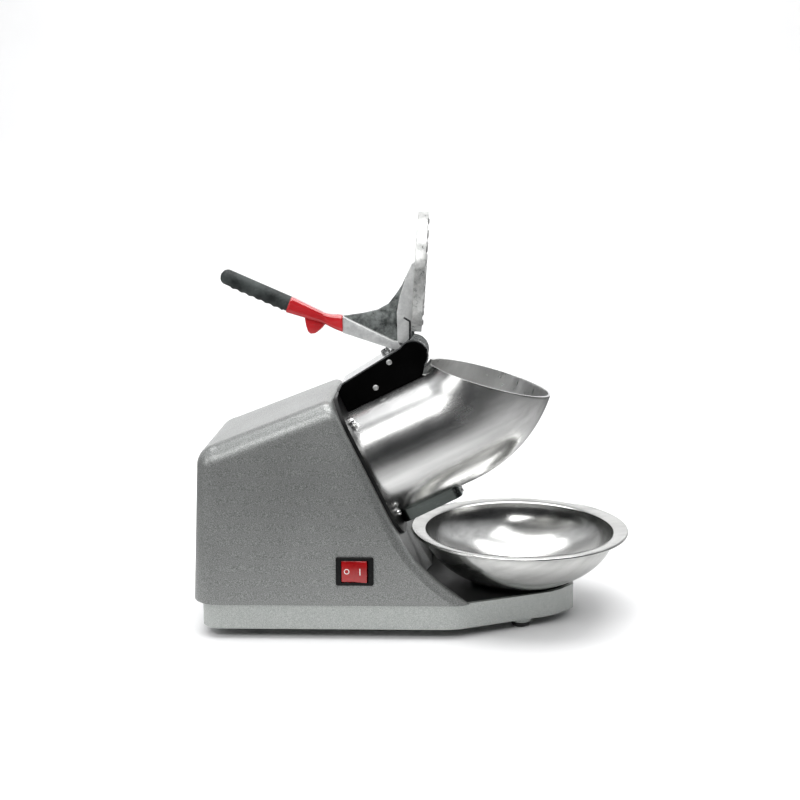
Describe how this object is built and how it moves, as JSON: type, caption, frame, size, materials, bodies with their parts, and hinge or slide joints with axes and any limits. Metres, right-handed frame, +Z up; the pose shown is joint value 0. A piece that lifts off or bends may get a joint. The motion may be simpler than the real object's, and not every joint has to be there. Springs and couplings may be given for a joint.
{
  "type": "shaved ice machine",
  "caption": "Counter-top ice shaver with an inclined feed hopper, swing-over press lever with toothed plate, motor-driven blade disc and loose bowl.",
  "frame": {"origin": "on the floor plane under the feet, straight below the lever's pivot, on the machine's mid-plane", "axes": "+X towards the bowl and hopper mouth, +Y away from the switch side, +Z up"},
  "size_m": [0.4551, 0.23, 0.4264],
  "materials": {
    "pan_paint": "light grey hammered paint",
    "foot_rubber": "dark rubber",
    "zinc_sheet": "zinc plated sheet",
    "plated_screws": "plated steel",
    "housing_paint": "silver-grey hammered paint",
    "tray_rubber": "ribbed black rubber",
    "hopper_metal": "polished outside, satin inside",
    "chrome_screws": "bright",
    "seal_rubber": "black rubber",
    "skirt_steel": "polished sheet",
    "bracket_steel": "brushed strip",
    "cover_plastic": "black",
    "rivet_metal": "domed rivet",
    "ground_steel": "ground",
    "lever_casting": "as cast, edges polished",
    "plate_casting": "polished casting",
    "sleeve_red": "glossy red",
    "grip_black": "soft black",
    "spring_steel": "oiled wire",
    "motor_paint": "dark enamel",
    "bell_casting": "die cast",
    "lamination": "stacked sheet",
    "copper_wire": "lacquered copper",
    "fan_plastic": "moulded",
    "cutter_steel": "stainless",
    "switch_black": "black moulding",
    "rocker_red": "glossy red",
    "tab_brass": "tinned brass",
    "gland_plastic": "black nylon",
    "capacitor_case": "moulded case",
    "terminal_plastic": "natural nylon",
    "bowl_steel": "polished stainless steel"
  },
  "bodies": {
    "frame": {"base_pan": "pan_paint", "rubber_feet": "foot_rubber", "bottom_plate": "zinc_sheet", "bottom_plate_screws": "plated_screws", "housing": "housing_paint", "housing_screws": "plated_screws", "tray_mat": "tray_rubber", "hopper": "hopper_metal", "hopper_screws": "chrome_screws", "gasket": "seal_rubber", "shaft_seal": "seal_rubber", "outlet_skirt": "skirt_steel", "skirt_screws": "chrome_screws", "hinge_bracket": "bracket_steel", "bracket_cover_near": "cover_plastic", "bracket_cover_far": "cover_plastic", "cover_rivets": "rivet_metal", "pivot_pin": "ground_steel", "stop_screw": "chrome_screws", "bracket_screws": "chrome_screws", "mounting_plate": "zinc_sheet", "motor_front_bell": "bell_casting", "motor_rear_bell": "bell_casting", "motor_casing": "motor_paint", "motor_bolts": "plated_screws", "stator_core": "lamination", "stator_windings": "copper_wire", "front_bearing": "ground_steel", "rear_bearing": "ground_steel", "switch_body": "switch_black", "switch_tabs": "tab_brass", "cord_gland": "gland_plastic", "capacitor": "capacitor_case", "capacitor_clamp": "zinc_sheet", "terminal_block": "terminal_plastic"},
    "lever": {"lever_arm": "lever_casting", "press_plate": "plate_casting", "plate_screws": "plated_screws", "handle_sleeve": "sleeve_red", "hand_grip": "grip_black", "return_spring": "spring_steel"},
    "cutter": {"motor_shaft": "ground_steel", "rotor_core": "lamination", "cooling_fan": "fan_plastic", "blade_disc": "cutter_steel", "blades": "cutter_steel", "blade_screws": "plated_screws", "disc_nut": "plated_screws"},
    "rocker": {"rocker": "rocker_red"},
    "bowl": {"bowl": "bowl_steel"}
  },
  "joints": [
    {"name": "lever_hinge", "type": "hinge", "parent": "frame", "child": "lever", "pos_m": [0, 0, 0.2815], "axis": [0, 1, 0], "range_deg": [0, 150], "stiffness_Nm_per_rad": 0.25, "springref_deg": -22.92},
    {"name": "cutter_spin", "type": "hinge", "parent": "frame", "child": "cutter", "pos_m": [-0.04069, 0, 0.16875], "axis": [0.8988, 0, 0.4384], "continuous": true},
    {"name": "rocker_tilt", "type": "hinge", "parent": "frame", "child": "rocker", "pos_m": [-0.0578, -0.08863, 0.0726], "axis": [0, 0.0523, 0.9986], "range_deg": [0, 14]},
    {"name": "bowl_slide", "type": "slide", "parent": "frame", "child": "bowl", "axis": [0.9397, 0, 0.342], "range_m": [0, 0.24]}
  ]
}
